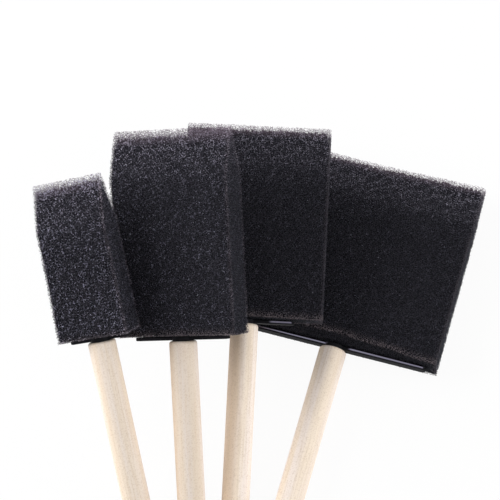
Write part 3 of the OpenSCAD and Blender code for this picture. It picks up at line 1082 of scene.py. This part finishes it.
class SPONGE_OT_stage(Operator):
    """Adds the table, the light and the camera"""

    bl_idname = "sponge.stage"
    bl_label = "Stage"

    def execute(self, context):
        tools = settings().stage
        self.table(tools)
        self.sky(tools)
        for name, turn, height, power in LAMPS:
            self.lamp(name, turn, height, power * tools.lamp)
        self.camera(context, tools)
        context.scene.view_settings.view_transform = "Standard"
        return {"FINISHED"}

    def seen(self, tree):
        """1 where the camera sees a thing directly, in gloss or through glass."""
        straight, gloss, glass = (
            tree.node("ShaderNodeLightPath", out=f"Is {kind} Ray")
            for kind in ("Camera", "Glossy", "Transmission")
        )
        return (straight + gloss + glass).clamp()

    def table(self, tools):
        deselect()
        bpy.ops.mesh.primitive_plane_add(size=TABLE_WIDTH, location=(0, 0, 0))
        floor = bpy.context.object
        floor.name = "floor"
        tree = new_material("table")
        dull = tree.node("ShaderNodeBsdfDiffuse", Color=tools.floor)
        white = tree.node("ShaderNodeEmission", Color=(1, 1, 1), Strength=1.0)
        tree.finish(tree.node("ShaderNodeMixShader", {}, self.seen(tree) * TABLE_GLOW, dull, white))
        floor.data.materials.append(tree.owner)

    def sky(self, tools):
        world = bpy.data.worlds.new("sky")
        bpy.context.scene.world = world
        tree = Tree(world)
        strength = tools.sky + self.seen(tree) * (1 - tools.sky)
        tree.finish(tree.node("ShaderNodeBackground", {}, (1, 1, 1), strength))

    def lamp(self, name, turn, height, power):
        """A square soft lamp a metre away, placed by two angles, that points at the set."""
        turn, height = math.radians(turn), math.radians(height)
        away = math.cos(height)
        place = (math.cos(turn) * away, math.sin(turn) * away, math.sin(height))
        deselect()
        bpy.ops.object.light_add(type="AREA", location=place)
        lamp = bpy.context.object
        lamp.name = name
        lamp.data.shape = "SQUARE"
        lamp.data.size = LAMP_WIDTH
        lamp.data.energy = power
        lamp.rotation_euler = (-lamp.location).to_track_quat("-Z", "Y").to_euler()

    def camera(self, context, tools):
        back = Vector((math.sin(tools.swing), -math.sin(tools.tilt), 0))
        back.z = math.sqrt(1 - back.length_squared)
        up = Vector((math.sin(tools.roll), math.cos(tools.roll), 0))
        right = up.cross(back).normalized()
        up = back.cross(right)
        turned = Matrix([right, up, back]).transposed().to_4x4()
        bpy.ops.object.camera_add()
        camera = bpy.context.object
        camera.name = "camera"
        camera.matrix_world = Matrix.Translation(Vector(tools.aim) + back * tools.distance) @ turned
        camera.data.lens = tools.lens
        camera.data.sensor_width = SENSOR
        camera.data.clip_end = VIEW_DEPTH
        context.scene.camera = camera


class SPONGE_OT_handles(Operator):
    """Gives each turned handle its own birch"""

    bl_idname = "sponge.handles"
    bl_label = "Handles"

    def execute(self, context):
        for number, name in enumerate(BRUSHES):
            look = birch_material(name, number, settings().handle)
            dress(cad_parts["handle_" + name], look)
        return {"FINISHED"}


class SPONGE_OT_blades(Operator):
    """Gives the moulded blade inserts their gloss"""

    bl_idname = "sponge.blades"
    bl_label = "Blade inserts"

    def execute(self, context):
        for number, name in enumerate(BRUSHES):
            look = plastic_material(name, number, settings().plastic)
            dress(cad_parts["blade_insert_" + name], look)
        return {"FINISHED"}


class SPONGE_OT_heads(Operator):
    """Makes the foam heads with open pores and laced edges"""

    bl_idname = "sponge.heads"
    bl_label = "Foam heads"

    def execute(self, context):
        tools = settings().sponge
        cells = Cells(tools.cell, tools.seed)
        core_look = foam_material(tools)
        for number, name in enumerate(BRUSHES):
            shape = head_shape(name) | head_cut(tools, number)
            lace_look = lace_material(name, number, tools)
            node = "foam_head_" + name
            core = foam_core(name, shape, tools, cells)
            lace = foam_lace(name, shape, tools, tools.seed + number)
            for piece, look in ((core, core_look), (lace, lace_look)):
                finish_piece(piece, shape["axes"], node, look)
        return {"FINISHED"}


class SpongeBrushes(PropertyGroup):
    """All the settings of the set."""

    sponge: PointerProperty(type=SpongeSettings)
    handle: PointerProperty(type=HandleSettings)
    plastic: PointerProperty(type=PlasticSettings)
    stage: PointerProperty(type=StageSettings)


STEPS = (SPONGE_OT_stage, SPONGE_OT_handles, SPONGE_OT_blades, SPONGE_OT_heads)


class SPONGE_PT_panel(Panel):
    """Settings and steps of the set"""

    bl_idname = "SPONGE_PT_panel"
    bl_label = "Sponge brushes"
    bl_space_type = "VIEW_3D"
    bl_region_type = "UI"
    bl_category = "Sponge brushes"

    def draw(self, context):
        groups = settings()
        for title in SpongeBrushes.__annotations__:
            group = getattr(groups, title)
            box = self.layout.box()
            box.label(text=title.title())
            for name in group.__annotations__:
                box.prop(group, name)
        for step in STEPS:
            self.layout.operator(step.bl_idname)


CLASSES = (
    SpongeSettings, HandleSettings, PlasticSettings, StageSettings, SpongeBrushes,
    *STEPS, SPONGE_PT_panel,
)


def register():
    for each in CLASSES:
        bpy.utils.register_class(each)
    bpy.types.Scene.sponge_brushes = PointerProperty(type=SpongeBrushes)


def unregister():
    del bpy.types.Scene.sponge_brushes
    for each in reversed(CLASSES):
        bpy.utils.unregister_class(each)


def main():
    register()
    bpy.ops.sponge.stage()
    bpy.ops.sponge.handles()
    bpy.ops.sponge.blades()
    bpy.ops.sponge.heads()


if __name__ == "__main__":
    main()
